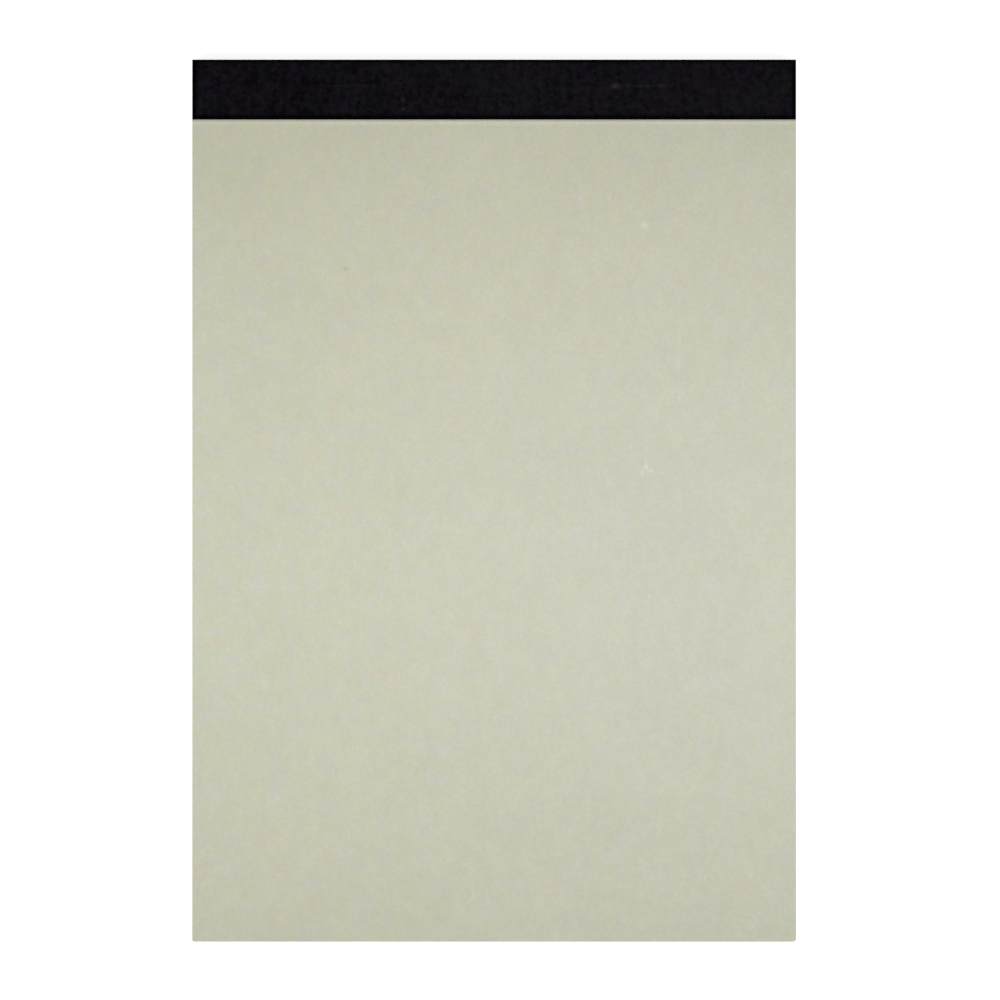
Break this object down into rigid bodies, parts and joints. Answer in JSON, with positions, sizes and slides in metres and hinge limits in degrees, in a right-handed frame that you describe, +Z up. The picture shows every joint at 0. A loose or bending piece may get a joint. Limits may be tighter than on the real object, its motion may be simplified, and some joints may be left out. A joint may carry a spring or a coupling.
{
  "type": "notepad",
  "caption": "Head-bound notepad lying on its back: card cover hinged at a black tape-wrapped head, sheet block, grey back board and wire staples under the tape.",
  "frame": {"origin": "middle of the pad's footprint, on the surface that it lies on", "axes": "+X across the pad, +Y along it to the taped head, +Z up out of the front cover"},
  "size_m": [0.148, 0.2162, 0.007],
  "materials": {
    "cover_card": "satin",
    "sheet_paper": "matte",
    "grey_board": "matte",
    "head_tape": "matte",
    "staple_wire": "satin"
  },
  "bodies": {
    "pad": {"cover_bound_edge": "cover_card", "page_block": "sheet_paper", "back_board": "grey_board", "binding_tape": "head_tape", "staples": "staple_wire"},
    "cover": {"front_cover": "cover_card"}
  },
  "joints": [
    {"name": "cover_hinge", "type": "hinge", "parent": "pad", "child": "cover", "pos_m": [0, 0.0933, 0.00685], "axis": [-1, 0, 0], "range_deg": [0, 178]}
  ]
}
